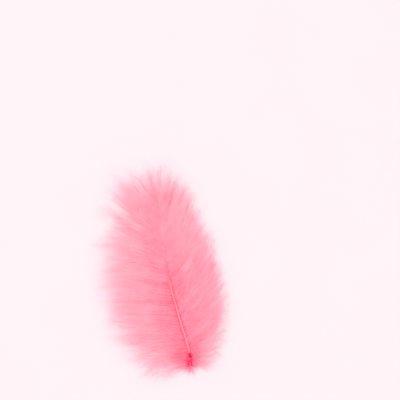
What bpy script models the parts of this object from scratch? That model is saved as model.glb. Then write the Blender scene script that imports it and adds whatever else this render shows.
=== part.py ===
"""Cul de canard feather, dyed pink, lying flat on its underside.

+Y runs from the butt of the quill to the tip of the vane, +Z is up, and the origin
is on the surface that the feather lies on, below its balance point. The feather
grew as one piece, so it is one solid: a thin quill with a vane on each side, and
each vane is a row of locks. A lock is a bundle of barbs that cling together. Next
to the quill the locks are grown together, and further out each one is free and
tapers to its own tip.

Sizes are in millimetres. Places are given from the butt of the quill, as across
and along, and add_point turns them into metres from the origin.
"""

import math
from collections import namedtuple

import bmesh
import bpy

MM = 0.001

# The origin's place, measured from the butt
BALANCE_ACROSS = -3.0
BALANCE_ALONG = 25.6

# The quill, butt to tip, seen from above: how far along the feather, how far across
QuillPoint = namedtuple("QuillPoint", "along across")
QUILL_LINE = (
    QuillPoint(0.0, 0.0),
    QuillPoint(5.0, 0.8),
    QuillPoint(14.0, -0.1),
    QuillPoint(24.0, -0.95),
    QuillPoint(33.0, -0.7),
    QuillPoint(47.0, -0.4),
)
QUILL_LENGTH = QUILL_LINE[-1].along
QUILL_BUTT_RADIUS = 0.21
QUILL_ROOT_RADIUS = 0.36
QUILL_TIP_RADIUS = 0.08
QUILL_FULL_AT = 2.5
QUILL_UNDERSIDE = 0.05
QUILL_RINGS = 34
QUILL_SIDES = 8

# The barbs of each vane, from its foot to its top: the root's place along the quill,
# the angles of the root and of the tip from straight up the feather, and the length
Barb = namedtuple("Barb", "root leaves ends length")
LEFT_VANE = (
    Barb(1.6, 99.0, 119.0, 12.4),
    Barb(5.0, 84.0, 97.0, 20.0),
    Barb(10.0, 72.0, 87.0, 21.6),
    Barb(19.0, 70.0, 88.0, 21.0),
    Barb(26.0, 62.0, 86.0, 21.2),
    Barb(31.0, 52.0, 74.0, 21.0),
    Barb(35.0, 46.0, 59.0, 20.2),
    Barb(39.0, 41.0, 38.0, 18.6),
    Barb(43.0, 38.0, 24.0, 16.4),
    Barb(46.0, 27.0, 12.0, 12.4),
)
RIGHT_VANE = (
    Barb(1.6, 106.0, 118.0, 7.2),
    Barb(5.0, 77.0, 60.0, 13.3),
    Barb(10.0, 62.0, 46.0, 16.6),
    Barb(17.0, 55.0, 38.0, 18.6),
    Barb(24.0, 52.0, 32.0, 19.0),
    Barb(31.0, 50.0, 28.0, 17.4),
    Barb(36.0, 46.0, 26.0, 16.0),
    Barb(40.0, 40.0, 20.0, 15.2),
    Barb(43.5, 32.0, 16.0, 13.6),
    Barb(46.0, 22.0, 8.0, 11.6),
)
SIDES = {-1: LEFT_VANE, 1: RIGHT_VANE}

# The locks
LOCKS_A_SIDE = 31
JOINED_STEPS = 4
FREE_STEPS = 6
SHORTEST_JOINED = 0.36
LONGEST_JOINED = 0.66
SHORTEST_LOCK = 0.93
LONGEST_LOCK = 1.05
TIP_LOCK_LENGTH = 9.6
LOCK_FILL = 0.96
LOCK_TIP_FILL = 0.16
LOCK_TAPER = 2.2

# Thickness from the flat underside: along the middle of a lock, and along its edges
CREST_AT_QUILL = 0.56
CREST_AT_TIP = 0.26
EDGE_AT_QUILL = 0.30
EDGE_AT_TIP = 0.16

# How far the tips spring up off the surface. Low, middle and high locks take turns
# along the quill, short locks rise less than long ones, and the top curls up
LOCK_LIFTS = ((0.0, 0.4), (0.9, 1.5), (1.7, 2.5))
LIFT_BEND = 1.2
LONG_BARB = 15.0
TIP_LOCK_LIFT = 0.9
CURL_FROM = 45.0
CURL_HEIGHT = 1.3

# The finish: colour, roughness
PINK = (1.0, 0.30, 0.42, 1.0)
PINK_ROUGHNESS = 0.8

Section = namedtuple("Section", "low_top crest high_top high_bottom low_bottom")


def mix(start, end, share):
    return start + (end - start) * share


def vary(number, low, high):
    """A value between low and high that looks random and is the same each time."""
    return mix(low, high, math.sin(number * 12.9898) * 43758.5453 % 1.0)


def smooth_row(rows, place):
    """The row at this place, read from a smooth curve through the rows given."""
    index = 0
    while index < len(rows) - 2 and place > rows[index + 1][0]:
        index += 1
    before = rows[max(index - 1, 0)]
    start = rows[index]
    end = rows[index + 1]
    after = rows[min(index + 2, len(rows) - 1)]
    span = end[0] - start[0]
    share = (place - start[0]) / span
    values = []
    for column in range(1, len(start)):
        start_slope = (end[column] - before[column]) / (end[0] - before[0]) * span
        end_slope = (after[column] - start[column]) / (after[0] - start[0]) * span
        rise = end[column] - start[column]
        square = share * share
        cube = square * share
        values.append(
            start[column]
            + start_slope * (cube - 2 * square + share)
            + rise * (3 * square - 2 * cube)
            + end_slope * (cube - square)
        )
    return values


def quill_across(along):
    return smooth_row(QUILL_LINE, along)[0]


def barb_point(side, root, share):
    """Where a barb is at this share of its length. Its angle changes evenly, so it is an arc."""
    leaves, ends, length = smooth_row(SIDES[side], root)
    start = math.radians(leaves)
    turn = math.radians(ends - leaves)
    if abs(turn) < 1e-4:
        out = length * share * math.sin(start)
        up = length * share * math.cos(start)
    else:
        angle = start + turn * share
        out = length / turn * (math.cos(start) - math.cos(angle))
        up = length / turn * (math.sin(angle) - math.sin(start))
    return quill_across(root) + side * out, root + up


def curl(along):
    """How far the top of the feather has curled up off the surface."""
    share = max(0.0, along - CURL_FROM) / (QUILL_LENGTH + TIP_LOCK_LENGTH - CURL_FROM)
    return CURL_HEIGHT * share**2


def add_point(mesh, place, height):
    across, along = place
    x = across - BALANCE_ACROSS
    y = along - BALANCE_ALONG
    z = height + curl(along)
    return mesh.verts.new((x * MM, y * MM, z * MM))


def add_face(mesh, corners):
    """A face through these corners, of which two or more may be the same point."""
    distinct = list(dict.fromkeys(corners))
    if len(distinct) > 2:
        mesh.faces.new(distinct)


def seam_root(seam):
    """Where a seam between two locks starts on the quill. A half number is a lock's middle."""
    foot = LEFT_VANE[0].root
    return mix(foot, LEFT_VANE[-1].root, seam / LOCKS_A_SIDE)


def joined_share(side, seam):
    """The share of its length at which the locks on both sides of a seam part."""
    return vary(seam * 2 + side, SHORTEST_JOINED, LONGEST_JOINED)


def crest_height(share):
    return mix(CREST_AT_QUILL, CREST_AT_TIP, share)


def edge_height(share):
    return mix(EDGE_AT_QUILL, EDGE_AT_TIP, share)


def lock_lift(side, lock):
    """How high the tip of a lock springs up."""
    length = smooth_row(SIDES[side], seam_root(lock + 0.5))[2]
    least, most = LOCK_LIFTS[(lock + side) % len(LOCK_LIFTS)]
    return min(1.0, length / LONG_BARB) * vary(lock * 3 + side, least, most)


def seam_points(mesh, side, seam, root_points):
    """The top and bottom points along the joined part of a seam, from the quill outwards."""
    root = seam_root(seam)
    points = [root_points]
    for step in range(1, JOINED_STEPS + 1):
        share = joined_share(side, seam) * step / JOINED_STEPS
        place = barb_point(side, root, share)
        points.append((add_point(mesh, place, edge_height(share)), add_point(mesh, place, 0.0)))
    return points


def joined_sections(mesh, low_seam, high_seam, crest_root, crest_place, joined):
    """A lock's sections while its neighbours still hold its edges."""
    sections = []
    for step in range(JOINED_STEPS + 1):
        if step == 0:
            crest = crest_root
        else:
            share = joined * step / JOINED_STEPS
            crest = add_point(mesh, crest_place(share), crest_height(share))
        low_top, low_bottom = low_seam[step]
        high_top, high_bottom = high_seam[step]
        sections.append(Section(low_top, crest, high_top, high_bottom, low_bottom))
    return sections


def free_sections(mesh, low_place, crest_place, high_place, joined, length, lift):
    """A lock's sections past its neighbours, narrowing to a blunt tip and springing up."""
    sections = []
    for step in range(1, FREE_STEPS + 1):
        part = step / FREE_STEPS
        share = mix(joined, length, part)
        fill = mix(LOCK_FILL, LOCK_TIP_FILL, part**LOCK_TAPER)
        height = lift * part**LIFT_BEND
        middle = crest_place(share)
        edges = []
        for edge_place in (low_place(share), high_place(share)):
            edges.append([mix(middle[axis], edge_place[axis], fill) for axis in (0, 1)])
        low, high = edges
        thin = edge_height(part)
        sections.append(
            Section(
                add_point(mesh, low, height + thin),
                add_point(mesh, middle, height + crest_height(part)),
                add_point(mesh, high, height + thin),
                add_point(mesh, high, height),
                add_point(mesh, low, height),
            )
        )
    return sections


def skin_lock(mesh, sections, low_wall_from, high_wall_from):
    """Faces along a lock. An edge has a wall only from the section where it is free."""
    for index, (near, far) in enumerate(zip(sections, sections[1:])):
        add_face(mesh, (near.low_top, near.crest, far.crest, far.low_top))
        add_face(mesh, (near.crest, near.high_top, far.high_top, far.crest))
        add_face(mesh, (near.high_bottom, near.low_bottom, far.low_bottom, far.high_bottom))
        if index >= low_wall_from:
            add_face(mesh, (near.low_bottom, near.low_top, far.low_top, far.low_bottom))
        if index >= high_wall_from:
            add_face(mesh, (near.high_top, near.high_bottom, far.high_bottom, far.high_top))
    add_face(mesh, sections[-1])


def add_lock(mesh, side, lock, seams, crest_root):
    """One lock of a vane, between seam number lock and the seam above it."""
    joined = (joined_share(side, lock) + joined_share(side, lock + 1)) / 2
    length = vary(lock * 7 + side, SHORTEST_LOCK, LONGEST_LOCK)

    def place_at(seam):
        return lambda share: barb_point(side, seam_root(seam), share)

    crest_place = place_at(lock + 0.5)
    sections = joined_sections(
        mesh, seams[lock], seams[lock + 1], crest_root, crest_place, joined
    )
    sections += free_sections(
        mesh,
        place_at(lock),
        crest_place,
        place_at(lock + 1),
        joined,
        length,
        lock_lift(side, lock),
    )
    skin_lock(mesh, sections, 0 if lock == 0 else JOINED_STEPS, JOINED_STEPS)


def add_tip_lock(mesh, left_seam, right_seam, crest_root):
    """The lock that grows straight on from the end of the quill, between the two vanes."""
    root = seam_root(LOCKS_A_SIDE)
    length = TIP_LOCK_LENGTH / LEFT_VANE[-1].length

    def crest_place(share):
        return quill_across(root), root + share * LEFT_VANE[-1].length

    joined = (joined_share(-1, LOCKS_A_SIDE) + joined_share(1, LOCKS_A_SIDE)) / 2
    sections = joined_sections(mesh, left_seam, right_seam, crest_root, crest_place, joined)
    sections += free_sections(
        mesh,
        lambda share: barb_point(-1, root, share),
        crest_place,
        lambda share: barb_point(1, root, share),
        joined,
        length,
        TIP_LOCK_LIFT,
    )
    skin_lock(mesh, sections, JOINED_STEPS, JOINED_STEPS)


def build_vanes():
    """Both vanes and the lock at the top as one closed skin."""
    mesh = bmesh.new()
    roots = []
    crest_roots = []
    for seam in range(LOCKS_A_SIDE + 1):
        along = seam_root(seam)
        place = (quill_across(along), along)
        roots.append((add_point(mesh, place, EDGE_AT_QUILL), add_point(mesh, place, 0.0)))
    for lock in range(LOCKS_A_SIDE):
        along = seam_root(lock + 0.5)
        crest_roots.append(add_point(mesh, (quill_across(along), along), CREST_AT_QUILL))
    seams = {}
    for side in SIDES:
        seams[side] = [
            seam_points(mesh, side, seam, roots[seam]) for seam in range(LOCKS_A_SIDE + 1)
        ]
        for lock in range(LOCKS_A_SIDE):
            add_lock(mesh, side, lock, seams[side], crest_roots[lock])
    add_tip_lock(mesh, seams[-1][-1], seams[1][-1], roots[-1][0])
    return mesh


def quill_radius(along):
    """Widest where the barbs begin, narrower at the butt and finest at the tip."""
    if along < QUILL_FULL_AT:
        return mix(QUILL_BUTT_RADIUS, QUILL_ROOT_RADIUS, along / QUILL_FULL_AT)
    share = (along - QUILL_FULL_AT) / (QUILL_LENGTH - QUILL_FULL_AT)
    return mix(QUILL_ROOT_RADIUS, QUILL_TIP_RADIUS, share)


def build_quill():
    """The quill as a tapering rod, its underside just inside the vanes."""
    mesh = bmesh.new()
    rings = []
    for step in range(QUILL_RINGS + 1):
        along = QUILL_LENGTH * step / QUILL_RINGS
        radius = quill_radius(along)
        ring = []
        for corner in range(QUILL_SIDES):
            angle = 2 * math.pi * (corner + 0.5) / QUILL_SIDES
            across = quill_across(along) + radius * math.cos(angle)
            height = QUILL_UNDERSIDE + radius + radius * math.sin(angle)
            ring.append(add_point(mesh, (across, along), height))
        rings.append(ring)
    for near, far in zip(rings, rings[1:]):
        for corner in range(QUILL_SIDES):
            after = (corner + 1) % QUILL_SIDES
            mesh.faces.new((near[corner], near[after], far[after], far[corner]))
    mesh.faces.new(rings[0])
    mesh.faces.new(rings[-1])
    return mesh


def make_object(name, mesh):
    bmesh.ops.recalc_face_normals(mesh, faces=mesh.faces)
    data = bpy.data.meshes.new(name)
    mesh.to_mesh(data)
    mesh.free()
    made = bpy.data.objects.new(name, data)
    bpy.context.scene.collection.objects.link(made)
    return made


def pink_material():
    material = bpy.data.materials.new("pink_down")
    material.use_nodes = True
    shader = material.node_tree.nodes["Principled BSDF"]
    shader.inputs["Base Color"].default_value = PINK
    shader.inputs["Roughness"].default_value = PINK_ROUGHNESS
    shader.inputs["Metallic"].default_value = 0.0
    return material


def main():
    for old in list(bpy.data.objects):
        bpy.data.objects.remove(old, do_unlink=True)
    feather = make_object("feather", build_vanes())
    feather.data.materials.append(pink_material())
    quill = make_object("quill_form", build_quill())
    quill.hide_render = True
    quill.display_type = "WIRE"
    union = feather.modifiers.new("quill", "BOOLEAN")
    union.operation = "UNION"
    union.object = quill
    feather.data.shade_smooth()
    feather.data.set_sharp_from_angle(angle=math.radians(40.0))


main()
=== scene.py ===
"""Cul de canard feather: the quill, its two vanes of barbs and barbules, and a plain studio.

The feather lies along +Y with the butt of its quill at the low end, as the frame
has it. Places on it are worked out in metres from the butt and then moved to the
frame's origin, which is under the balance point.
"""

import math
from functools import cached_property

import bmesh
import bpy
import numpy as np
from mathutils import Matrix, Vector


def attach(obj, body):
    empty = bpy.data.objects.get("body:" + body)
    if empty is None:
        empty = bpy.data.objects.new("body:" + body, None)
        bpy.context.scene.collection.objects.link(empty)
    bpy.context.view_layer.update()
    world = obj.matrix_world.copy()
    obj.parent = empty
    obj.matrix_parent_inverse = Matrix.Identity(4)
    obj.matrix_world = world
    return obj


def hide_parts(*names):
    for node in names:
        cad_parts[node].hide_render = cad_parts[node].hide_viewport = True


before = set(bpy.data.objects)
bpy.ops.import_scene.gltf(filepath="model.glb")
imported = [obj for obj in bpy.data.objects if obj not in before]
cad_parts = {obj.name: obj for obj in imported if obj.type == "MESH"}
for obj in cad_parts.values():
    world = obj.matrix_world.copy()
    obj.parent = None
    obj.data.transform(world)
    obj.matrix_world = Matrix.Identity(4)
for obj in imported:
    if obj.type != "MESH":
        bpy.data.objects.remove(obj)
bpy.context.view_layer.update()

bl_info = {
    "name": "Cul de canard feather",
    "version": (1, 0, 0),
    "blender": (4, 5, 0),
    "location": "3D View > Sidebar > Feather",
    "description": "Models a dyed cul de canard feather barb by barb",
    "category": "Add Mesh",
}

MM = 0.001
BODY = "root"
NODE = "feather"

# The butt of the quill, seen from the frame's origin
BUTT = np.array((3.0, -25.6)) * MM

# The quill, butt to tip: along and across, in millimetres
QUILL_LINE = (
    (0.0, 0.0),
    (5.0, 0.8),
    (14.0, -0.1),
    (24.0, -0.95),
    (33.0, -0.7),
    (47.0, -0.4),
)
QUILL_LENGTH = QUILL_LINE[-1][0] * MM
QUILL_UNDERSIDE = 0.05 * MM
QUILL_FULL_AT = 2.5 * MM
QUILL_STEPS = 60

# The point of the quill's tip, and how thick its end is as a share of the tip
POINT_LENGTH = 0.2 * MM
POINT_END = 0.3

# The hollow cut butt
BUTT_RIM = 0.07 * MM
BUTT_DEPTH = 0.6 * MM

# The barbs of each vane, foot to top: the root's place along the quill in millimetres,
# the angles of root and tip from straight up the feather in degrees, the length in
# millimetres, the share of it that even the shortest barbs there have, and how few of
# the barbs come near the full length
LEFT_VANE = (
    (1.6, 99.0, 112.0, 12.4, 0.12, 1.3),
    (5.0, 84.0, 97.0, 20.0, 0.20, 1.3),
    (10.0, 72.0, 87.0, 21.6, 0.30, 0.9),
    (19.0, 70.0, 88.0, 21.0, 0.44, 0.85),
    (26.0, 62.0, 86.0, 21.2, 0.34, 0.85),
    (31.0, 52.0, 74.0, 21.0, 0.25, 1.4),
    (35.0, 46.0, 59.0, 20.2, 0.24, 2.1),
    (39.0, 41.0, 38.0, 18.6, 0.44, 2.0),
    (43.0, 38.0, 24.0, 16.4, 0.25, 2.0),
    (46.0, 27.0, 12.0, 12.4, 0.14, 1.4),
)
RIGHT_VANE = (
    (1.6, 106.0, 118.0, 7.2, 0.20, 1.3),
    (5.0, 77.0, 60.0, 13.3, 0.28, 1.1),
    (10.0, 62.0, 46.0, 16.6, 0.54, 1.0),
    (17.0, 55.0, 38.0, 18.6, 0.66, 1.0),
    (24.0, 52.0, 32.0, 19.0, 0.60, 1.2),
    (31.0, 50.0, 28.0, 17.4, 0.38, 1.3),
    (36.0, 46.0, 26.0, 16.0, 0.32, 1.5),
    (40.0, 40.0, 20.0, 15.2, 0.28, 2.3),
    (43.5, 32.0, 16.0, 13.6, 0.18, 2.1),
    (46.0, 22.0, 8.0, 11.6, 0.12, 1.3),
)
SIDES = {-1: LEFT_VANE, 1: RIGHT_VANE}
SIDE_NAMES = {-1: "left", 1: "right"}
VANE_PARTS = ("foot", "middle", "top")
FIRST_ROOT = LEFT_VANE[0][0] * MM
LAST_ROOT = LEFT_VANE[-1][0] * MM
LEAST_TURN = 0.001

# How closely the roots stand: the place along the quill in millimetres, and the share
ROOT_DENSITY = (
    (1.6, 0.55),
    (4.0, 1.05),
    (8.0, 1.1),
    (28.0, 1.0),
    (34.0, 1.35),
    (40.0, 1.2),
    (46.0, 0.42),
)
ROOT_JITTER = 0.05 * MM

# Between these places the roots of the barbs come to cover the quill
COVERED = (26.0 * MM, 35.0 * MM)

# Where a barb leaves the quill, in radii of the quill from its middle line: beside it, and
# where the roots cover it. Then how high that is, in radii and with a gap
BESIDE_QUILL = 0.5
ACROSS_QUILL = (-2.6, 0.4)
BESIDE_UNTIL = 0.07
ROOT_HEIGHT = 1.6
COVER_HEIGHT = 2.1
ROOT_GAP = 0.04 * MM

# Steps that spread the barbs of a row evenly over a range, a different one for each trait
BOLD_STEP = 0.4142
LIFT_STEP = 0.5698
REACH_STEP = 0.6180
STRAY_STEP = 0.7549

# The clumps of barbs that cling together near the quill and part again further out: how
# strongly, between which shares of the barb, and how unevenly they stand
CLUMP_PULL = 0.8
CLUMP_CLOSES = (0.02, 0.14)
CLUMP_RELEASE = 0.45
CLUMP_OPENS = (0.15, 0.6)
CLUMP_SHIFT = 0.3
CLUMP_SHIFT_STEP = 7.3

# The locks that the barbs gather in further out, as many on each side, how far their tips
# rise in millimetres, and how the barbs of one follow it
LOCKS_A_SIDE = 31
LOCK_PULL = 0.1
LOCK_CLOSES = (0.45, 1.0)
LOCK_LIFTS = ((0.0, 0.3), (0.6, 1.2), (1.4, 2.4))
LOCK_LIFT_STEP = 3
LIFT_BEND = 1.3
LIFT_FROM = 0.48
LIFT_SPREAD = 0.2 * MM
LIFT_FOLLOWED = 0.9
LONG_BARB = 15.0 * MM

# How far a barb strays from its place in the row, least at the foot, and where along it
STRAY = 1.7 * MM
STRAY_AT_FOOT = 0.1
STRAY_WHOLE = 5.0 * MM
STRAY_SHOWS = (0.15, 1.1)

# The waves of a barb: how wide they are, and the radians that they turn over its full length
SWAY = 0.15 * MM
BOLD_SWAY = 0.24 * MM
SWAY_TURN = 15.0
RIPPLE = 0.1 * MM
RIPPLE_TURN = 9.0
RIPPLE_STEP = 2.4
WAVES_SHOW = (0.05, 0.5)

# The heights that the barbs lie at, in millimetres, and the share by which one is there
LAYERS = (0.1, 1.1)
LAYER_FROM = 0.12
BARB_POINTS = 13

# The barbs that lie on top: how many, how high and how much thicker than the others
BOLD_SHARE = 0.25
BOLD_HEIGHT = 1.2 * MM
BOLD_RISE = 0.25 * MM
BOLD_THICKNESS = 1.7

# The slight curl of the feather's tip, and how low and high the down and barbs may be
CURL_FROM = 45.0 * MM
CURL_TO = 56.6 * MM
CURL_HEIGHT = 1.3 * MM
LOWEST = 0.05 * MM
HIGHEST = 3.55 * MM
LOWEST_BARB = 0.12 * MM
HIGHEST_BARB = HIGHEST - 0.2 * MM

# The barbs whose roots are this close together took the dye alike
STREAK_WIDTH = 0.9 * MM
STREAK_TONES = (0.93, 1.06)
BARB_TONES = (0.92, 1.02)

# How unevenly thick the barbs are, how soon one tapers, and how far a hair may be rolled
BARB_THICKNESSES = (0.85, 1.15)
BARB_TAPER = 0.7
HAIR_ROLL = 2.0

# The first barbule of a barb, the last one as a share of it, and how many are left of them
FIRST_BARBULE = 0.1 * MM
LAST_BARBULE = 0.995
FEW_AT_QUILL = 0.7
ALL_GROW_FROM = (0.05, 0.35)
FEW_AT_TIP = 0.38

# The share of a barb beyond which its barbules thin out, or further if it is short
THIN_FROM = 0.5
THIN_AT_TIP = 0.55

# How a barbule stands: degrees from its barb, radians out of the vane, and its bend forward
SPLAY = (28.0, 72.0)
TILT = 0.6
BEND = (0.1, 0.9)
BENT_SHARE = 0.05
BARBULE_TAPER = (1.0, 0.7)
BARBULE_THICKNESSES = (0.8, 1.15)

# The lengths of barbules as shares of the longest, more outwards and less beside the quill
SHORTEST_BARBULE = 0.5
LONG_OUTWARDS = 1.15
LONGER_FROM = (0.5, 1.0)
SHORT_AT_QUILL = 0.35
SHORT_UNTIL = 0.08

# How far barbules start below the middle of their barb: near the quill and under bold barbs
SUNK_AT_QUILL = 0.08 * MM
SUNK_UNTIL = (0.08, 0.3)
SUNK_IF_BOLD = 0.12 * MM

# Each barb has a row of the map: where in it the barb's patch starts and how wide it is,
# as shares of the row, and the same for its barbules, which run this far along the row
BARB_PATCH = (0.04, 0.26)
BARBULE_PATCH = (0.35, 0.6)
BARBULE_RUN = 0.03

# The barbs that grow straight on from the quill's tip
FAN_BARBS = 15
FAN_SHORTEST = 0.1
FAN_FEW = 1.2
FAN_THICKNESS = 0.8

# The knots of matted down at the foot: across and along from the butt, and half their
# thickness, in millimetres
KNOTS = (
    (0.85, 1.65, 0.20),
    (-0.70, 1.75, 0.13),
    (0.05, 2.00, 0.23),
    (0.80, 2.35, 0.20),
    (0.45, 2.80, 0.15),
    (-0.20, 3.00, 0.20),
    (-0.65, 3.30, 0.12),
    (0.95, 3.20, 0.14),
    (0.80, 4.05, 0.38),
    (0.72, 4.65, 0.28),
)
KNOT_STRANDS = 42
KNOT_HEIGHT = 1.5 * MM
KNOT_STRETCH = np.array((1.0, 1.0, 2.0))
KNOT_INNERMOST = 0.2
KNOT_TURN = 2.6

# The free strands of the tuft and the low ones under them, in millimetres: the least, usual
# and greatest place of their roots, their lengths, and the height at which they leave the
# quill. Then their angles from straight up it, in degrees
FREE_STRANDS = dict(
    count=480, roots=(1.5, 2.6, 5.2), lengths=(0.7, 2.6), highest=0.95, spreads=(15.0, 125.0)
)
LOW_STRANDS = dict(
    count=260, roots=(1.0, 1.3, 2.4), lengths=(0.8, 3.6), highest=0.35, spreads=(95.0, 165.0)
)

# The strands' half thicknesses in millimetres, how they taper, and how the free ones lie
KNOT_RADIUS = 0.035
FREE_RADII = (0.015, 0.035)
LOW_RADII = (0.010, 0.022)
TUFT_TAPER = 0.6
TUFT_POINTS = 8
TUFT_LOWEST = 0.06 * MM
STRAND_START = 0.2 * MM
STRAND_BEND = 0.8
STRAND_DROP = 0.63
STRAND_RISE = 0.2
STRAND_SWAY = 0.08 * MM
STRAND_SWAY_TURN = 7.0
STRAND_SWAY_STEP = 9.0

# Where the strands start on the map and how far they run: in knots, free and low
TUFT_STARTS = (0.0, 0.5, 0.8)
TUFT_RUNS = (0.45, 0.45, 0.19)
TUFT_PATCH = 0.9


def mix(start, end, share):
    return start + (end - start) * share


def vary(number, low, high):
    """A value between low and high that looks random and is the same each time."""
    spin, stretch = 12.9898, 43758.5453
    return mix(low, high, np.sin(number * spin) * stretch % 1.0)


def scatter(count, step):
    """Numbers from 0 to 1 for a row of count things, so that each differs from its neighbours."""
    return (np.arange(1, count + 1) * step) % 1.0


def ease(value, start, end):
    """0 before start, 1 after end, and a smooth rise between them."""
    share = np.clip((value - start) / (end - start), 0.0, 1.0)
    return share * share * (3.0 - 2.0 * share)


def unit(vectors):
    least = 1e-12
    return vectors / np.maximum(np.linalg.norm(vectors, axis=-1, keepdims=True), least)


def read_rows(rows, places):
    """The columns of rows at these places, read from a smooth curve through each column."""
    table = np.array(rows, float)
    last = len(table) - 1
    places = np.clip(places, table[0, 0], table[last, 0])
    index = np.clip(np.searchsorted(table[:, 0], places, side="right") - 1, 0, last - 1)
    before = table[np.maximum(index - 1, 0)]
    start = table[index]
    end = table[index + 1]
    after = table[np.minimum(index + 2, last)]
    span = (end - start)[..., :1]
    share = (places[..., None] - start[..., :1]) / span
    start_slope = (end - before) / (end - before)[..., :1] * span
    end_slope = (after - start) / (after - start)[..., :1] * span
    square = share * share
    cube = square * share
    curve = (
        start
        + start_slope * (cube - 2 * square + share)
        + (end - start) * (3 * square - 2 * cube)
        + end_slope * (cube - square)
    )
    return np.moveaxis(curve[..., 1:], -1, 0)


def quill_across(along):
    return read_rows(QUILL_LINE, along / MM)[0] * MM


def quill_radius(along):
    """Half the quill's thickness: fullest just above the butt and finest at the tip."""
    sizes = bpy.context.scene.feather_sizes
    butt, root, tip = sizes.quill_butt / 2, sizes.quill_root / 2, sizes.quill_tip / 2
    low = mix(butt, root, np.clip(along / QUILL_FULL_AT, 0.0, 1.0))
    high = mix(root, tip, (along - QUILL_FULL_AT) / (QUILL_LENGTH - QUILL_FULL_AT))
    return np.where(along < QUILL_FULL_AT, low, high)


def barb_place(side, roots, shares):
    """Across and along of points at these shares of barbs with these roots: each is an arc."""
    leaves, ends, length, _, _ = read_rows(SIDES[side], roots / MM)
    start = np.radians(leaves)
    turn = np.radians(ends - leaves)
    turn = np.where(np.abs(turn) < LEAST_TURN, LEAST_TURN, turn)
    angle = start + turn * shares
    out = length * MM / turn * (np.cos(start) - np.cos(angle))
    up = length * MM / turn * (np.sin(angle) - np.sin(start))
    return quill_across(roots) + side * out, roots + up


def bold_barbs(count):
    """Which barbs of a row lie on top of the others, thicker and more deeply dyed."""
    return scatter(count, BOLD_STEP) < BOLD_SHARE


def spread_roots(count):
    """The roots of count barbs, foot to top, closer where the feather is denser."""
    places = np.linspace(FIRST_ROOT, LAST_ROOT, num=400)
    places_mm, shares = np.array(ROOT_DENSITY).T
    crowd = np.cumsum(np.interp(places / MM, places_mm, shares))
    return np.interp((np.arange(count) + 0.5) / count, crowd / crowd[-1], places)


def curl(along):
    share = np.maximum(0.0, along - CURL_FROM) / (CURL_TO - CURL_FROM)
    return CURL_HEIGHT * share**2


def lock_lifts(side):
    """How far the tip of each lock of a vane rises, foot to top."""
    lock = np.arange(LOCKS_A_SIDE)
    roots = mix(FIRST_ROOT, LAST_ROOT, (lock + 0.5) / LOCKS_A_SIDE)
    _, _, length, _, _ = read_rows(SIDES[side], roots / MM)
    least, most = np.array(LOCK_LIFTS)[(lock + side) % len(LOCK_LIFTS)].T
    lift = vary(lock * LOCK_LIFT_STEP + side, least, most)
    return np.minimum(1.0, length * MM / LONG_BARB) * lift * MM


def panel_length(name, description, default_mm, least_mm):
    """A length that a user can change in the panel."""
    return bpy.props.FloatProperty(
        name=name, description=description, default=default_mm * MM, min=least_mm * MM,
        unit="LENGTH", precision=5,
    )


def panel_colour(name, description, default):
    """A colour that a user can change in the panel."""
    return bpy.props.FloatVectorProperty(
        name=name, description=description, default=default, min=0.0, max=1.0,
        subtype="COLOR", size=3,
    )


class FeatherSizes(bpy.types.PropertyGroup):
    quill_butt: panel_length("Butt", "Thickness of the quill at its cut end", 0.42, 0.1)
    quill_root: panel_length("Root", "Thickness of the quill where the barbs begin", 0.72, 0.1)
    quill_tip: panel_length("Tip", "Thickness of the quill at its tip", 0.16, 0.1)
    barbs_a_side: bpy.props.IntProperty(
        name="Barbs a side", description="Barbs on each side of the quill", default=340, min=30,
    )
    barb_root: panel_length("Barb root", "Thickness of a barb at the quill", 0.09, 0.01)
    barb_tip: panel_length("Barb tip", "Thickness of a barb near its tip", 0.03, 0.005)
    barbule_spacing: panel_length(
        "Barbule spacing", "Distance along a barb from one barbule to the next", 0.039, 0.02
    )
    barbule_length: panel_length("Barbule length", "Length of the longest barbules", 2.0, 0.1)
    barbule_thickness: panel_length(
        "Barbule thickness", "Thickness of a barbule where it leaves its barb", 0.04, 0.005
    )
    clump_spacing: panel_length(
        "Clump spacing", "Distance along the quill between clumps of barbs", 0.8, 0.1
    )


class FeatherColours(bpy.types.PropertyGroup):
    root: panel_colour("Barb root", "Dye where the barbs leave the quill", (0.95, 0.045, 0.135))
    near: panel_colour("Near the quill", "Dye of the down beside the quill", (1.0, 0.295, 0.41))
    body: panel_colour("Down", "Dye of the down half way out", (1.0, 0.42, 0.515))
    tip: panel_colour("Fringe", "Paler dye at the tips of the barbs", (1.0, 0.57, 0.67))
    strand: panel_colour("Strands", "Deeper dye of the thickest barbs", (0.8, 0.05, 0.125))
    quill: panel_colour(
        "Quill", "Horny surface of the quill, which takes less dye", (0.52, 0.125, 0.175)
    )
    knots: panel_colour(
        "Knots", "Crimson of the down that is matted into knots at the foot", (0.42, 0.006, 0.04)
    )
    floor: panel_colour("Floor", "Plain pale floor", (0.137, 0.170, 0.168))


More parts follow.
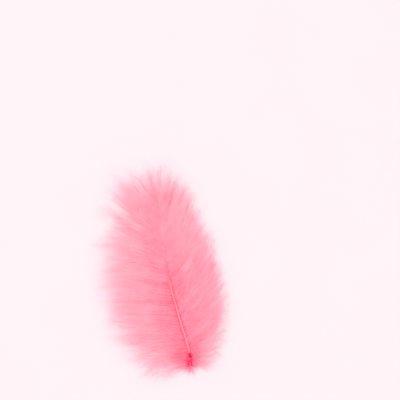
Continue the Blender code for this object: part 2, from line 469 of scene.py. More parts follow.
class Shader:
    """A Principled material whose nodes are added by name, with short calls."""

    def __init__(self, name, roughness, sheen=0.0, specular=0.5):
        self.material = bpy.data.materials.new(name)
        self.material.use_nodes = True
        self.tree = self.material.node_tree
        self.principled = self.tree.nodes["Principled BSDF"]
        self.principled.inputs["Roughness"].default_value = roughness
        self.principled.inputs["Sheen Weight"].default_value = sheen
        self.principled.inputs["Specular IOR Level"].default_value = specular

    @cached_property
    def place(self):
        """The point that is shaded, seen from the frame's origin."""
        return self.node("ShaderNodeTexCoord").outputs["Object"]

    @cached_property
    def spot(self):
        """The three coordinates of the point that is shaded."""
        return self.node("ShaderNodeSeparateXYZ", {"Vector": self.place}).outputs

    @cached_property
    def along(self):
        """How far out on its hair the point is, as the map has it."""
        layer = self.node("ShaderNodeUVMap", uv_map="OFBake")
        return self.node("ShaderNodeSeparateXYZ", {"Vector": layer.outputs["UV"]}).outputs["X"]

    def node(self, kind, inputs=(), **settings):
        """A new node. An input is a value, or the socket that feeds it."""
        made = self.tree.nodes.new(kind)
        for key, value in settings.items():
            setattr(made, key, value)
        for key, value in dict(inputs).items():
            self.feed(value, made.inputs[key])
        return made

    def feed(self, value, socket):
        """Link the socket that value is to this one, or set this one. Colours are opaque."""
        if isinstance(value, bpy.types.NodeSocket):
            self.tree.links.new(value, socket)
        elif socket.type == "RGBA":
            socket.default_value = (*value, 1.0)
        else:
            socket.default_value = value

    def blend(self, factor, low, high):
        """The colour low where factor is 0 and high where it is 1."""
        made = self.node("ShaderNodeMix", data_type="RGBA", clamp_factor=True)
        # The places of the sockets that this kind of node has for colours
        for at, value in ((0, factor), (6, low), (7, high)):
            self.feed(value, made.inputs[at])
        return made.outputs[2]

    def ramp(self, value, start, end, low=0.0, high=1.0):
        """Low up to start, high from end on, and a smooth change between them."""
        made = self.node(
            "ShaderNodeMapRange",
            {"Value": value, "From Min": start, "From Max": end, "To Min": low, "To Max": high},
            interpolation_type="SMOOTHSTEP",
        )
        return made.outputs["Result"]

    def up_feather(self, start, end, low=0.0, high=1.0):
        """A ramp between two places up the feather, in millimetres from the butt."""
        return self.ramp(self.spot["Y"], BUTT[1] + start * MM, BUTT[1] + end * MM, low, high)

    def noise(self, place, scale, detail):
        inputs = {"Vector": place, "Scale": scale, "Detail": detail}
        return self.node("ShaderNodeTexNoise", inputs).outputs["Fac"]

    def spots(self, grain, low, high):
        """Irregular spots of low and high, of this grain."""
        scale, detail, start, end = grain
        return self.ramp(self.noise(self.place, scale, detail), start, end, low, high)

    def attribute(self, name):
        return self.node("ShaderNodeAttribute", attribute_name=name).outputs["Fac"]

    def brightness(self, colour, value):
        inputs = {"Color": colour, "Value": value}
        return self.node("ShaderNodeHueSaturation", inputs).outputs["Color"]

    def paint(self, colour):
        self.feed(colour, self.principled.inputs["Base Color"])
        return self.material


# How the dye, and the painted shade on the quill's barrel, change up the feather: from and to, in
# millimetres from the butt, and the values there
NEAR_MELLOWS = (20.0, 46.0, 0.0, 0.6)
ROOTS_MELLOW = (20.0, 33.0, 0.0, 1.0)
ROOTS_PALE = (33.0, 39.0, 0.0, 0.6)
FRINGE_PALE = (28.0, 44.0, 1.0, 0.2)
TOP_PALE = (45.5, 51.0, 0.0, 0.45)
RIGHT_BEGINS = (5.0, 14.0)
RIGHT_ENDS = (24.0, 36.0, 0.5, 0.0)
FOOT_STAINED = (11.0, 3.0, 0.0, 0.6)
SPECKLES_SHOW = (22.0, 32.0, 1.0, 0.25)
FADE_FROM = (30.0, 40.0, 0.32, 0.34)
FADE_TO = (30.0, 40.0, 0.8, 0.75)
MOTTLES_SHOW = (24.0, 34.0, 0.18, 0.03)
HORN_DYED = (23.0, 28.0, 0.0, 0.6)
HORN_MELLOWS = (30.0, 37.0, 0.0, 1.0)
# Painted shade: the barrel of the quill darker towards the butt
BARREL_PAINTED_SHADE = (0.0, 3.0, 0.72, 1.0)

# Where the deeper dye of the right vane comes in, across the feather
RIGHT_SIDE = (BUTT[0] + 2.5 * MM, BUTT[0] + 6.0 * MM)

# How the dye changes along a barb: from and to, as shares of the full length
ROOT_TO_NEAR = (0.005, 0.07)
NEAR_TO_BODY = (0.08, 0.42)
BODY_TO_TIP = (0.5, 1.0)
STAIN_TO_ROOT = (0.3, 0.0)
SPECKLES_TO_DASHES = (0.05, 0.2)
MOTTLES_END = (0.12, 0.4)
TONES_WEAKEN = (0.35, 0.8)

# How the dye changes along the map of the tuft
KNOTS_TO_FREE = (0.3, 0.5)
FREE_TO_TIP = (0.6, 1.0)

# The grain of spots: the scale and detail of their noise, and the values it is cut at
SPECKLES = (900.0, 2.0, 0.38, 0.62)
DASHES = (650.0, 2.0, 0.4, 0.6)
BLOTCHES = (230.0, 3.0, 0.3, 0.7)
MOTTLES = (520.0, 2.0, 0.4, 0.65)
TUFT_GRAIN = (1400.0, 2.0, 0.35, 0.65)
FLOOR_GRAIN = (60.0, 2.0, 0.3, 0.7)

# The tones of barbs, from an even one to the deepest and to the palest, and how much of the
# root's or the tip's dye each adds
DEEP_TONES = (0.99, 0.86, 0.0, 0.22)
PALE_TONES = (0.99, 1.08, 0.0, 0.24)
DEEP_AT_FRINGE = 0.02

# How the streaks of the quill's horn turn from dark to bright
STREAK_SHADES = (0.3, 0.7, 0.88, 1.08)

# Painted light: the floor's faint pink glow, which lifts and tints the shade under the feather as
# light through thin dyed down would
FLOOR_PAINTED_GLOW = (1.0, 0.661, 0.732)


def vane_dye(shader, colours):
    """The dye of a vane: deep at the quill, paler outwards and at the top, deeper on the right."""
    near = shader.blend(shader.up_feather(*NEAR_MELLOWS), colours.near, colours.body)
    low_root = shader.blend(shader.up_feather(*ROOTS_MELLOW), colours.root, near)
    root = shader.blend(shader.up_feather(*ROOTS_PALE), low_root, colours.tip)
    start = shader.blend(shader.ramp(shader.along, *ROOT_TO_NEAR), root, near)
    middle = shader.blend(shader.ramp(shader.along, *NEAR_TO_BODY), start, colours.body)
    pale = shader.up_feather(*FRINGE_PALE)
    outer = shader.blend(
        shader.ramp(shader.along, *BODY_TO_TIP, 0.0, pale), middle, colours.tip
    )
    deep = shader.up_feather(*RIGHT_BEGINS, 0.0, shader.up_feather(*RIGHT_ENDS))
    right = shader.ramp(shader.spot["X"], *RIGHT_SIDE, 0.0, deep)
    dyed = shader.blend(right, outer, colours.near)
    return shader.blend(shader.up_feather(*TOP_PALE), dyed, colours.tip)


def strand_dye(shader, colours, whole):
    """Deep speckles and dashes on the barbs, most on bold ones, and a stain at the foot."""
    foot = shader.up_feather(*FOOT_STAINED)
    stained = shader.blend(
        shader.ramp(shader.along, *STAIN_TO_ROOT, 0.0, foot), whole, colours.root
    )
    speckles = shader.spots(SPECKLES, low=0.2, high=shader.up_feather(*SPECKLES_SHOW))
    dashes = shader.spots(DASHES, low=0.2, high=0.85)
    strokes = shader.ramp(shader.along, *SPECKLES_TO_DASHES, speckles, dashes)
    inner = shader.blend(strokes, stained, colours.strand)
    fade = (shader.up_feather(*FADE_FROM), shader.up_feather(*FADE_TO))
    barbs = shader.blend(shader.ramp(shader.along, *fade), inner, whole)
    return shader.blend(shader.attribute("fluff"), barbs, stained)


def uneven_dye(shader, colours, even):
    """Blotches and mottles where the dye took better, and barbs that are deeper or paler."""
    blotches = shader.spots(BLOTCHES, low=0.09, high=0.0)
    blotched = shader.blend(blotches, even, colours.root)
    mottles = shader.spots(MOTTLES, low=0.0, high=shader.up_feather(*MOTTLES_SHOW))
    mottled = shader.blend(
        shader.ramp(shader.along, *MOTTLES_END, mottles, 0.0), blotched, colours.root
    )
    tone = shader.attribute("tone")
    deep = shader.ramp(tone, *DEEP_TONES)
    pale = shader.ramp(tone, *PALE_TONES)
    thicker = shader.ramp(shader.along, *TONES_WEAKEN, deep, DEEP_AT_FRINGE)
    thinner = shader.ramp(shader.along, *TONES_WEAKEN, pale, 0.0)
    return shader.blend(thinner, shader.blend(thicker, mottled, colours.root), colours.tip)


def down_material(colours):
    """Dyed down: deep at the quill and paler outwards, each barb deeper than its barbules."""
    shader = Shader("dyed_down", roughness=0.8, sheen=0.15)
    drawn = strand_dye(shader, colours, vane_dye(shader, colours))
    return shader.paint(uneven_dye(shader, colours, drawn))


def foot_material(colours):
    """The down at the foot: crimson where it is matted, and paler towards free tips."""
    shader = Shader("foot_down", roughness=0.8, specular=0.2)
    free = shader.blend(shader.ramp(shader.along, *FREE_TO_TIP), colours.root, colours.near)
    colour = shader.blend(shader.ramp(shader.along, *KNOTS_TO_FREE), colours.knots, free)
    spots = shader.spots(TUFT_GRAIN, low=0.7, high=1.3)
    return shader.paint(shader.brightness(colour, spots))


def quill_material(colours):
    """Smooth horn with fine streaks, painted darker towards the butt as shade on the barrel."""
    shader = Shader("quill_horn", roughness=0.5, specular=0.3)
    dyed = shader.blend(shader.up_feather(*HORN_DYED), colours.quill, colours.root)
    horn = shader.blend(shader.up_feather(*HORN_MELLOWS), dyed, colours.body)
    # Painted shade: the barrel darkened towards the butt
    barrel = shader.brightness(horn, shader.up_feather(*BARREL_PAINTED_SHADE))
    fine_lengthwise = {"Vector": shader.place, "Scale": (9000.0, 400.0, 9000.0)}
    drawn_out = shader.node("ShaderNodeMapping", fine_lengthwise).outputs["Vector"]
    streaks = shader.noise(drawn_out, scale=1.0, detail=3.0)
    relief = {"Height": streaks, "Strength": 0.25, "Distance": 0.02 * MM}
    bump = shader.node("ShaderNodeBump", relief)
    shader.feed(bump.outputs["Normal"], shader.principled.inputs["Normal"])
    return shader.paint(shader.brightness(barrel, shader.ramp(streaks, *STREAK_SHADES)))


def floor_material(colour):
    """A plain pale floor. It glows faintly pink though it is no lamp: painted light that stands in
    for the pink light and shade under thin dyed down.
    """
    shader = Shader("floor", roughness=0.9)
    # Painted light: the floor's own pink glow, which lifts the shade under the feather
    shader.feed(FLOOR_PAINTED_GLOW, shader.principled.inputs["Emission Color"])
    shader.principled.inputs["Emission Strength"].default_value = 0.56
    grain = shader.spots(FLOOR_GRAIN, low=0.99, high=1.01)
    return shader.paint(shader.brightness(colour, grain))


def hair_faces(rings):
    """The triangles of a closed three-sided hair, whose last point is its tip."""
    faces = [(2, 1, 0)]
    for ring in range(rings - 1):
        here = ring * 3
        for corner in range(3):
            after = (corner + 1) % 3
            faces.append((here + corner, here + after, here + after + 3))
            faces.append((here + corner, here + after + 3, here + corner + 3))
    top = (rings - 1) * 3
    for corner in range(3):
        faces.append((top + corner, top + (corner + 1) % 3, rings * 3))
    return np.array(faces)


def hair_points(lines, radii, turns):
    """The points of three-sided hairs: the corners of each ring, then the tip."""
    hairs, steps, _ = lines.shape
    rings = steps - 1
    # Almost upright, so that no hair runs along it
    upright = np.array((0.02, 0.03, 1.0))
    ahead = unit(lines[:, 1:] - lines[:, :-1])
    aside = unit(np.cross(ahead, upright))
    above = np.cross(ahead, aside)
    angles = turns[:, None] + np.arange(3) * (2 * math.pi / 3)
    cosine = np.cos(angles)[:, None, :, None]
    sine = np.sin(angles)[:, None, :, None]
    around = aside[:, :, None, :] * cosine + above[:, :, None, :] * sine
    ring_points = lines[:, :rings, None, :] + around * radii[:, :, None, None]
    return np.concatenate([ring_points.reshape(hairs, rings * 3, 3), lines[:, -1:]], axis=1)


def hair_mesh(name, lines, radii, turns, atlas, fluff, tone):
    """Closed three-sided hairs in one mesh.

    lines is (hairs, rings + 1, 3): the centre of each ring, then the point of the tip.
    radii is (hairs, rings) and turns a start angle for each hair. atlas is (hairs, 3, 2):
    the corner of its patch of the map, and the patch's sides along and across the hair.
    fluff is 0 on a bold barb and 1 on a barbule, and tone is the dye's strength, for each hair.
    """
    hairs, steps, _ = lines.shape
    rings = steps - 1
    points = hair_points(lines, radii, turns)
    faces = hair_faces(rings)
    shares = np.append(np.repeat(np.arange(rings), 3), rings) / rings
    widths = np.append(np.tile((0.0, 0.5, 1.0), rings), 0.5)
    corner_uv = (
        atlas[:, None, 0]
        + atlas[:, None, 1] * shares[None, :, None]
        + atlas[:, None, 2] * widths[None, :, None]
    )
    uv = corner_uv[:, faces.reshape(-1)].reshape(-1, 2)
    corners = (faces[None] + (np.arange(hairs) * points.shape[1])[:, None, None]).reshape(-1)

    mesh = bpy.data.meshes.new(name)
    count = hairs * len(faces)
    mesh.vertices.add(hairs * points.shape[1])
    mesh.vertices.foreach_set("co", points.reshape(-1).astype(np.float32))
    mesh.loops.add(count * 3)
    mesh.loops.foreach_set("vertex_index", corners.astype(np.int32))
    mesh.polygons.add(count)
    mesh.polygons.foreach_set("loop_start", np.arange(0, count * 3, 3, dtype=np.int32))
    uv_layer = mesh.uv_layers.new(name="OFBake")
    uv_layer.uv.foreach_set("vector", uv.reshape(-1).astype(np.float32))
    for key, values in (("fluff", fluff), ("tone", tone)):
        layer = mesh.attributes.new(key, "FLOAT", "POINT")
        each_point = np.repeat(values, points.shape[1]).astype(np.float32)
        layer.data.foreach_set("value", each_point)
    mesh.update(calc_edges=True)
    mesh.shade_smooth()
    made = bpy.data.objects.new(name, mesh)
    bpy.context.scene.collection.objects.link(made)
    return made


def row_patches(start, along, across):
    """Patches of the map: a corner and two sides, each given as its two coordinates."""
    numbers = np.broadcast_arrays(*start, *along, *across)
    return np.stack(numbers, axis=-1).reshape(-1, 3, 2).astype(float)


def join_pieces(name, parts):
    """The parts as one object of this name."""
    bpy.ops.object.select_all(action="DESELECT")
    for part in parts:
        part.select_set(True)
    bpy.context.view_layer.objects.active = parts[0]
    bpy.ops.object.join()
    joined = bpy.context.view_layer.objects.active
    joined.name = name
    joined.data.name = name
    joined.select_set(False)
    return joined


def finish_piece(piece, material):
    """The piece's finish, and its place in the frame."""
    piece.data.materials.clear()
    piece.data.materials.append(material)
    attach(piece, BODY)
    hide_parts(NODE)


def clump_places(side, roots):
    """The number and the middle of the clump that each barb belongs to."""
    spacing = bpy.context.scene.feather_sizes.clump_spacing
    number = np.floor(roots / spacing)
    shift = CLUMP_SHIFT * np.sin(number * CLUMP_SHIFT_STEP + side)
    return number, (number + 0.5 + shift) * spacing


def lock_places(roots):
    """The number and the middle of the lock that each barb belongs to."""
    size = (LAST_ROOT - FIRST_ROOT) / LOCKS_A_SIDE
    number = np.clip(((roots - FIRST_ROOT) / size).astype(int), 0, LOCKS_A_SIDE - 1)
    return number, FIRST_ROOT + (number + 0.5) * size


def gathered_roots(side, roots, shares, wave):
    """The root whose barb each point is on, once the barb has gathered, strayed and waved."""
    clump, clump_root = clump_places(side, roots)
    _, lock_root = lock_places(roots)
    pull = CLUMP_PULL * ease(shares, *CLUMP_CLOSES) - CLUMP_RELEASE * ease(shares, *CLUMP_OPENS)
    to_clump = (clump_root - roots)[:, None] * pull
    to_lock = (lock_root - roots)[:, None] * LOCK_PULL * ease(shares, *LOCK_CLOSES)
    loose = STRAY * mix(STRAY_AT_FOOT, 1.0, ease(roots, FIRST_ROOT, STRAY_WHOLE))
    share_of_it = mix(-1.0, 1.0, scatter(len(roots), STRAY_STEP))
    stray = (loose * share_of_it)[:, None] * ease(shares, *STRAY_SHOWS)
    sway = np.where(bold_barbs(len(roots)), BOLD_SWAY, SWAY)[:, None]
    clump_wave = (clump * RIPPLE_STEP)[:, None]
    waves = sway * np.sin(shares * SWAY_TURN + wave)
    waves = waves + RIPPLE * np.sin(shares * RIPPLE_TURN + clump_wave)
    return roots[:, None] + to_clump + to_lock + stray + waves * ease(shares, *WAVES_SHOW)


def barb_heights(side, roots, shares, along, wave, random):
    """How high the barbs are: from the quill into their layers, then up with their locks."""
    count = len(roots)
    cover = ease(roots, *COVERED)
    radii_up = mix(ROOT_HEIGHT, COVER_HEIGHT, cover)
    root_height = QUILL_UNDERSIDE + quill_radius(roots) * radii_up + ROOT_GAP
    bold_height = BOLD_HEIGHT + BOLD_RISE * cover
    layer = np.where(bold_barbs(count), bold_height, random.uniform(*LAYERS, count) * MM)
    height = mix(root_height[:, None], layer[:, None], ease(shares, 0.0, LAYER_FROM))
    lock, _ = lock_places(roots)
    free = np.clip((shares - LIFT_FROM) / (1.0 - LIFT_FROM), 0.0, 1.0)
    follows = LIFT_FOLLOWED * scatter(count, LIFT_STEP) ** 2
    lift = (lock_lifts(side)[lock] + random.normal(0.0, LIFT_SPREAD, count)) * follows
    height = height + lift[:, None] * free**LIFT_BEND + curl(along)
    height = height + RIPPLE * np.sin(shares * RIPPLE_TURN + 2 * wave)
    return np.clip(height, LOWEST_BARB, HIGHEST_BARB)


def barb_lines(side, roots, reach, random):
    """The centre lines of barbs with these roots, each of them reach of the full length."""
    count = len(roots)
    shares = np.linspace(0.0, 1.0, BARB_POINTS)[None, :] * reach[:, None]
    wave = random.uniform(0.0, 2 * math.pi, count)[:, None]
    across, along = barb_place(side, gathered_roots(side, roots, shares, wave), shares)
    cover = ease(roots, *COVERED)
    on_quill = side * random.uniform(*ACROSS_QUILL, count)
    beside = mix(side * BESIDE_QUILL, on_quill, cover) * quill_radius(roots)
    across = across + beside[:, None] * (1.0 - ease(shares, 0.0, BESIDE_UNTIL))
    height = barb_heights(side, roots, shares, along, wave, random)
    return np.stack([across + BUTT[0], along + BUTT[1], height], axis=-1), shares


def read_line(spots, travelled, values):
    """The values, one row for each point of a line, at these distances along it."""
    return np.stack([np.interp(spots, travelled, column) for column in values.T], axis=-1)


def barbule_roots(lines, shares, thinning, random):
    """Where barbules leave their barbs: the point, the barb's direction, its share, its number."""
    spacing = bpy.context.scene.feather_sizes.barbule_spacing
    steps = np.linalg.norm(lines[:, 1:] - lines[:, :-1], axis=-1)
    travelled = np.concatenate([np.zeros((len(lines), 1)), np.cumsum(steps, axis=1)], axis=1)
    starts, directions, places, barb_of = [], [], [], []
    for barb, line in enumerate(lines):
        length = travelled[barb, -1]
        count = int(length / spacing)
        spots = (np.arange(count) + random.uniform(0.0, 1.0, count)) * spacing
        spots = np.clip(spots, FIRST_BARBULE, length * LAST_BARBULE)
        place = np.interp(spots, travelled[barb], shares[barb])
        chance = mix(FEW_AT_QUILL, 1.0, ease(place, *ALL_GROW_FROM))
        chance = chance * mix(1.0, FEW_AT_TIP, ease(place, thinning[barb], 1.0))
        kept = random.uniform(0.0, 1.0, count) < chance
        ahead = unit(np.gradient(line, axis=0))
        starts.append(read_line(spots[kept], travelled[barb], line))
        directions.append(read_line(spots[kept], travelled[barb], ahead))
        places.append(place[kept])
        barb_of.append(np.full(np.count_nonzero(kept), barb))
    ahead = unit(np.concatenate(directions))
    return np.concatenate(starts), ahead, np.concatenate(places), np.concatenate(barb_of)


def barbule_stops(start, ahead, place, covers, bold, random):
    """The start, middle and tip of each barbule, which splays from its barb and bends ahead."""
    count = len(start)
    aside = unit(np.cross(ahead, np.array((0.0, 0.0, 1.0))))
    above = np.cross(aside, ahead)
    hand = random.choice((-1.0, 1.0), count)
    tilt = random.normal(0.0, TILT, count)
    outward = aside * (hand * np.cos(tilt))[:, None] + above * np.sin(tilt)[:, None]
    splay = np.radians(random.uniform(*SPLAY, count))
    first = ahead * np.cos(splay)[:, None] + outward * np.sin(splay)[:, None]
    later = unit(first + ahead * random.uniform(*BEND, count)[:, None])
    longest = bpy.context.scene.feather_sizes.barbule_length
    length = longest * random.uniform(SHORTEST_BARBULE, 1.0, count)
    length = length * mix(1.0, LONG_OUTWARDS, ease(place, *LONGER_FROM))
    past_quill = np.maximum(covers, ease(place, 0.0, SHORT_UNTIL))
    length = length * mix(SHORT_AT_QUILL, 1.0, past_quill)
    start[:, 2] -= SUNK_AT_QUILL * (1.0 - ease(place, *SUNK_UNTIL)) * (1.0 - covers)
    start[:, 2] -= SUNK_IF_BOLD * bold
    half = (length * 0.5)[:, None]
    middle = start + first * half
    tip = middle + later * half
    for points in (start, middle, tip):
        points[:, 2] = np.clip(points[:, 2], LOWEST, HIGHEST)
    return start, middle, tip


def barbules(name, lines, shares, thinning, tone, random):
    """Barbules along both edges of each barb, finer and sparser towards its tip."""
    row_height = 1.0 / len(lines)
    start, ahead, place, barb = barbule_roots(lines, shares, thinning, random)
    count = len(start)
    covers = ease(lines[:, 0, 1] - BUTT[1], *COVERED)[barb]
    bold = bold_barbs(len(lines))[barb]
    start, middle, tip = barbule_stops(start, ahead, place, covers, bold, random)
    thickness = bpy.context.scene.feather_sizes.barbule_thickness
    radius = thickness / 2 * random.uniform(*BARBULE_THICKNESSES, count)
    radius = radius * mix(1.0, THIN_AT_TIP, ease(place, thinning[barb], 1.0))
    turns = random.uniform(0.0, HAIR_ROLL, count)
    patch_start, patch_height = BARBULE_PATCH
    patches = row_patches(
        (place * (1.0 - BARBULE_RUN), barb * row_height + row_height * patch_start),
        (0.0, row_height * patch_height),
        (BARBULE_RUN, 0.0),
    )
    bent = random.uniform(0.0, 1.0, count) < BENT_SHARE
    parts = []
    for chosen, stops in ((bent, (start, middle, tip)), (~bent, (start, tip))):
        rings = len(stops) - 1
        centres = np.stack([stop[chosen] for stop in stops], axis=1)
        radii = radius[chosen, None] * np.array(BARBULE_TAPER)[:rings]
        fluff, dye = np.ones(len(centres)), tone[barb[chosen]]
        hairs = (centres, radii, turns[chosen], patches[chosen], fluff, dye)
        parts.append(hair_mesh(f"{name}_{rings}", *hairs))
    return parts


def barb_piece(name, lines, shares, thinning, thickness, random, material):
    """Barbs along these lines, with their barbules, as one finished piece."""
    count = len(lines)
    row_height = 1.0 / count
    streak = np.floor((lines[:, 0, 1] - BUTT[1]) / STREAK_WIDTH)
    tone = random.uniform(*BARB_TONES, count) * vary(streak + lines[0, 0, 0], *STREAK_TONES)
    root, tip = thickness
    taper = np.linspace(0.0, 1.0, lines.shape[1] - 1) ** BARB_TAPER
    radii = mix(root, tip, taper)[None, :] / 2
    bold = bold_barbs(count)
    thicker = np.where(bold, BOLD_THICKNESS, 1.0) * random.uniform(*BARB_THICKNESSES, count)
    radii = radii * thicker[:, None]
    patch_start, patch_height = BARB_PATCH
    patches = row_patches(
        (shares[:, 0], np.arange(count) * row_height + row_height * patch_start),
        (shares[:, -1] - shares[:, 0], 0.0),
        (0.0, row_height * patch_height),
    )
    turns = random.uniform(0.0, HAIR_ROLL, count)
    fluffiness = np.where(bold, 0.0, 0.5)
    barbs = hair_mesh(name + "_barbs", lines, radii, turns, patches, fluffiness, tone)
    fluff = barbules(name + "_barbules", lines, shares, thinning, tone, random)
    piece = join_pieces(name, [barbs, *fluff])
    finish_piece(piece, material)
    return piece


class FEATHER_OT_quill(bpy.types.Operator):
    """Model the quill: a tapering, slightly bent rod of horn with a hollow cut butt"""

    bl_idname = "feather.quill"
    bl_label = "Quill"

    def execute(self, context):
        bpy.ops.object.select_all(action="DESELECT")
        bpy.ops.mesh.primitive_circle_add(
            vertices=12,
            radius=float(quill_radius(0.0)),
            fill_type="NGON",
            location=self.centre(0.0),
            rotation=(math.radians(90.0), 0.0, 0.0),
        )
        quill = context.object
        quill.name = "quill"
        bpy.ops.object.transform_apply(location=True, rotation=True, scale=True)
        bpy.ops.object.mode_set(mode="EDIT")
        bpy.ops.mesh.select_all(action="SELECT")
        for step in range(QUILL_STEPS):
            near = QUILL_LENGTH * step / QUILL_STEPS
            far = QUILL_LENGTH * (step + 1) / QUILL_STEPS
            scale = float(quill_radius(far) / quill_radius(near))
            self.extend(self.centre(far) - self.centre(near), scale, self.centre(far))
        point = Vector((0.0, POINT_LENGTH, 0.0))
        self.extend(point, POINT_END, self.centre(QUILL_LENGTH) + point)
        bpy.ops.mesh.select_all(action="DESELECT")
        self.hollow_butt(quill)
        bpy.ops.mesh.select_all(action="SELECT")
        bpy.ops.mesh.normals_make_consistent(inside=False)
        bpy.ops.mesh.select_all(action="DESELECT")
        bpy.ops.object.mode_set(mode="OBJECT")
        bpy.ops.object.shade_smooth_by_angle(angle=math.radians(50.0))
        quill.data.name = "quill"
        quill.select_set(False)
        finish_piece(quill, quill_material(context.scene.feather_colours))
        return {"FINISHED"}

    def centre(self, along):
        """The middle of the quill at this place along it."""
        across = float(quill_across(np.array(along)))
        height = QUILL_UNDERSIDE + float(quill_radius(along)) + float(curl(along))
        return Vector((across + BUTT[0], along + BUTT[1], height))

    def extend(self, move, scale, centre):
        """Extrude the selected end of the quill and scale it about its new centre."""
        bpy.ops.mesh.extrude_region_move(TRANSFORM_OT_translate={"value": move})
        bpy.ops.transform.resize(value=(scale, scale, scale), center_override=centre)

    def hollow_butt(self, quill):
        """The cut end: a thin rim round the empty middle of the barrel."""
        shape = bmesh.from_edit_mesh(quill.data)
        shape.faces.ensure_lookup_table()
        end = min(shape.faces, key=lambda face: face.calc_center_median().y)
        end.select_set(True)
        bmesh.update_edit_mesh(quill.data)
        bpy.ops.mesh.inset(thickness=BUTT_RIM)
        inwards = (0.0, BUTT_DEPTH, 0.0)
        bpy.ops.mesh.extrude_region_move(TRANSFORM_OT_translate={"value": inwards})


class FEATHER_OT_vanes(bpy.types.Operator):
    """Model both vanes: barbs in clumps and locks, each barb edged with fine barbules"""

    bl_idname = "feather.vanes"
    bl_label = "Vanes"

    def execute(self, context):
        sizes = context.scene.feather_sizes
        count = sizes.barbs_a_side
        thickness = (sizes.barb_root, sizes.barb_tip)
        material = down_material(context.scene.feather_colours)
        for side, side_name in SIDE_NAMES.items():
            random = np.random.default_rng(seed=41 + side)
            roots = spread_roots(count)
            roots = roots + random.normal(0.0, ROOT_JITTER, count)
            _, _, full, least, few = read_rows(SIDES[side], roots / MM)
            reach = mix(least, 1.0, scatter(count, REACH_STEP) ** few)
            part_of = self.share_out(full * reach)
            for number, part in enumerate(VANE_PARTS):
                chosen = part_of == number
                lines, shares = barb_lines(side, roots[chosen], reach[chosen], random)
                name = f"{side_name}_vane_{part}"
                thinning = np.maximum(least[chosen], THIN_FROM)
                barb_piece(name, lines, shares, thinning, thickness, random, material)
        return {"FINISHED"}

    def share_out(self, lengths):
        """The part of the vane that each barb is in, so that all parts hold as much down."""
        just_inside = 0.999
        down = np.cumsum(lengths)
        place = down / down[-1] * just_inside
        return (place * len(VANE_PARTS)).astype(int)


class FEATHER_OT_tip_fan(bpy.types.Operator):
    """Model the barbs that grow straight on from the end of the quill"""

    bl_idname = "feather.tip_fan"
    bl_label = "Tip fan"

    def execute(self, context):
        sizes = context.scene.feather_sizes
        random = np.random.default_rng(seed=7)
        roots = np.full(FAN_BARBS, LAST_ROOT)
        reach = mix(FAN_SHORTEST, 1.0, scatter(FAN_BARBS, REACH_STEP) ** FAN_FEW)
        left, shares = barb_lines(-1, roots, reach, random)
        right, _ = barb_lines(1, roots, reach, random)
        weight = ((np.arange(FAN_BARBS) + 0.5) / FAN_BARBS)[:, None, None]
        lines = mix(left, right, weight)
        thinning = np.full(FAN_BARBS, THIN_FROM)
        thickness = (sizes.barb_root * FAN_THICKNESS, sizes.barb_tip)
        material = bpy.data.materials["dyed_down"]
        barb_piece("tip_fan", lines, shares, thinning, thickness, random, material)
        return {"FINISHED"}


class FEATHER_OT_foot_tuft(bpy.types.Operator):
    """Model the short down at the foot of the quill, some of it matted into knots"""

    bl_idname = "feather.foot_tuft"
    bl_label = "Foot tuft"

    def execute(self, context):
        random = np.random.default_rng(seed=19)
        groups = [
            self.knot_lines(random),
            self.free_lines(random, **FREE_STRANDS),
            self.free_lines(random, **LOW_STRANDS),
        ]
        counts = [len(group) for group in groups]
        lines = np.concatenate(groups) + np.array((BUTT[0], BUTT[1], 0.0))
        lines[..., 2] = np.maximum(lines[..., 2], TUFT_LOWEST)
        count = len(lines)
        row_height = 1.0 / count
        patches = row_patches(
            (np.repeat(TUFT_STARTS, counts), np.arange(count) * row_height),
            (np.repeat(TUFT_RUNS, counts), 0.0),
            (0.0, row_height * TUFT_PATCH),
        )
        wound = np.full(counts[0], KNOT_RADIUS)
        free = random.uniform(*FREE_RADII, counts[1])
        low = random.uniform(*LOW_RADII, counts[2])
        radii = np.concatenate([wound, free, low])[:, None] * MM
        radii = radii * np.linspace(1.0, TUFT_TAPER, TUFT_POINTS - 1)
        turns = random.uniform(0.0, HAIR_ROLL, count)
        ones = np.ones(count)
        tuft = hair_mesh("foot_tuft", lines, radii, turns, patches, ones, ones)
        finish_piece(tuft, foot_material(context.scene.feather_colours))
        return {"FINISHED"}

    def knot_lines(self, random):
        """Strands wound round and round into knots."""
        turn = np.linspace(0.0, KNOT_TURN, TUFT_POINTS)[None, :, None]
        knots = []
        for across, along, radius in KNOTS:
            middle = np.array((across * MM, along * MM, KNOT_HEIGHT))
            size = radius * MM * random.uniform(KNOT_INNERMOST, 1.0, KNOT_STRANDS)
            first = unit(random.normal(0.0, 1.0, (KNOT_STRANDS, 3)))
            second = unit(np.cross(first, random.normal(0.0, 1.0, (KNOT_STRANDS, 3))))
            wound = first[:, None] * np.cos(turn) + second[:, None] * np.sin(turn)
            knots.append(middle + wound * size[:, None, None] * KNOT_STRETCH)
        return np.concatenate(knots)

    def free_lines(self, random, count, roots, lengths, highest, spreads):
        """Loose strands that stand out all round the quill."""
        root = random.triangular(*roots, count) * MM
        around = random.uniform(0.0, math.pi, count)
        length = random.uniform(*lengths, count) * MM
        spread = np.radians(random.uniform(*spreads, count))
        share = np.linspace(0.0, 1.0, TUFT_POINTS)[None, :]
        along = root[:, None] + (length * np.cos(spread))[:, None] * share
        away = STRAND_START + (length * np.sin(spread))[:, None] * share**STRAND_BEND
        wave = share * STRAND_SWAY_TURN + around[:, None] * STRAND_SWAY_STEP
        across = quill_across(root)[:, None] + away * np.cos(around)[:, None]
        across = across + STRAND_SWAY * np.sin(wave)
        height = highest * mix(1.0, STRAND_DROP, share) * MM
        height = height + away * np.sin(around)[:, None] * STRAND_RISE
        return np.stack([across, along, height], axis=-1)


# The photograph: how far the feather leans in it, its scale and width, and the butt's pixel
LEAN = math.radians(10.4)
PIXELS_A_MM = 3.82
PHOTO_WIDTH = 400
BUTT_PIXEL = (190.0, 372.0)
CAMERA_HEIGHT = 0.6


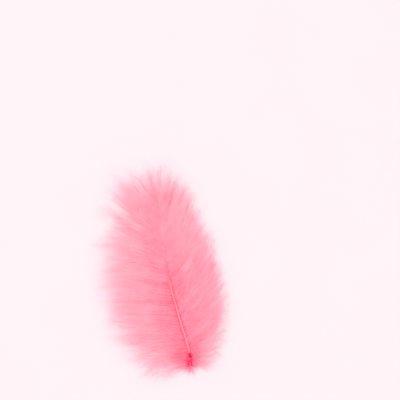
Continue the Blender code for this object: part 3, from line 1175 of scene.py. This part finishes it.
class FEATHER_OT_stage(bpy.types.Operator):
    """Set up the floor, the soft light and the camera that looks straight down"""

    bl_idname = "feather.stage"
    bl_label = "Stage"

    def execute(self, context):
        scene = context.scene
        bpy.ops.object.select_all(action="DESELECT")
        bpy.ops.mesh.primitive_plane_add(size=3.0, location=(0.0, 0.0, -0.02 * MM))
        floor = context.object
        floor.name = "floor"
        floor.data.materials.append(floor_material(scene.feather_colours.floor))
        floor.select_set(False)

        bpy.ops.object.light_add(type="AREA", location=(-0.12, 0.2, 0.9))
        lamp = context.object
        lamp.name = "softbox"
        lamp.data.shape = "DISK"
        lamp.data.size = 1.2
        lamp.data.energy = 12.0
        lamp.rotation_euler = (-lamp.location).to_track_quat("-Z", "Y").to_euler()

        world = bpy.data.worlds.new("studio")
        world.use_nodes = True
        background = world.node_tree.nodes["Background"]
        background.inputs["Color"].default_value = (1.0, 0.985, 0.99, 1.0)
        background.inputs["Strength"].default_value = 1.95
        scene.world = world
        scene.view_settings.view_transform = "Standard"
        self.place_camera(scene)
        return {"FINISHED"}

    def place_camera(self, scene):
        """Straight above, rolled so that the feather leans as it does in the photograph."""
        right_mm = (PHOTO_WIDTH / 2 - BUTT_PIXEL[0]) / PIXELS_A_MM
        up_mm = (BUTT_PIXEL[1] - PHOTO_WIDTH / 2) / PIXELS_A_MM
        across = right_mm * math.cos(LEAN) + up_mm * math.sin(LEAN)
        along = up_mm * math.cos(LEAN) - right_mm * math.sin(LEAN)
        data = bpy.data.cameras.new("camera")
        data.sensor_width = 36.0
        data.lens = data.sensor_width * CAMERA_HEIGHT / (PHOTO_WIDTH / PIXELS_A_MM * MM)
        data.clip_start = 0.01
        camera = bpy.data.objects.new("camera", data)
        camera.location = (BUTT[0] + across * MM, BUTT[1] + along * MM, CAMERA_HEIGHT)
        camera.rotation_euler = (0.0, 0.0, -LEAN)
        scene.collection.objects.link(camera)
        scene.camera = camera


class FEATHER_PT_panel(bpy.types.Panel):
    bl_idname = "FEATHER_PT_panel"
    bl_label = "Cul de canard feather"
    bl_space_type = "VIEW_3D"
    bl_region_type = "UI"
    bl_category = "Feather"

    def draw(self, context):
        for group in (context.scene.feather_sizes, context.scene.feather_colours):
            box = self.layout.box()
            for name in group.__annotations__:
                box.prop(group, name)
        for step in STEPS:
            self.layout.operator(step.bl_idname)


STEPS = (
    FEATHER_OT_quill,
    FEATHER_OT_vanes,
    FEATHER_OT_tip_fan,
    FEATHER_OT_foot_tuft,
    FEATHER_OT_stage,
)
CLASSES = (FeatherSizes, FeatherColours, *STEPS, FEATHER_PT_panel)


def register():
    for item in CLASSES:
        bpy.utils.register_class(item)
    bpy.types.Scene.feather_sizes = bpy.props.PointerProperty(type=FeatherSizes)
    bpy.types.Scene.feather_colours = bpy.props.PointerProperty(type=FeatherColours)


def unregister():
    del bpy.types.Scene.feather_colours
    del bpy.types.Scene.feather_sizes
    for item in reversed(CLASSES):
        bpy.utils.unregister_class(item)


def main():
    register()
    bpy.ops.feather.quill()
    bpy.ops.feather.vanes()
    bpy.ops.feather.tip_fan()
    bpy.ops.feather.foot_tuft()
    bpy.ops.feather.stage()


if __name__ == "__main__":
    main()
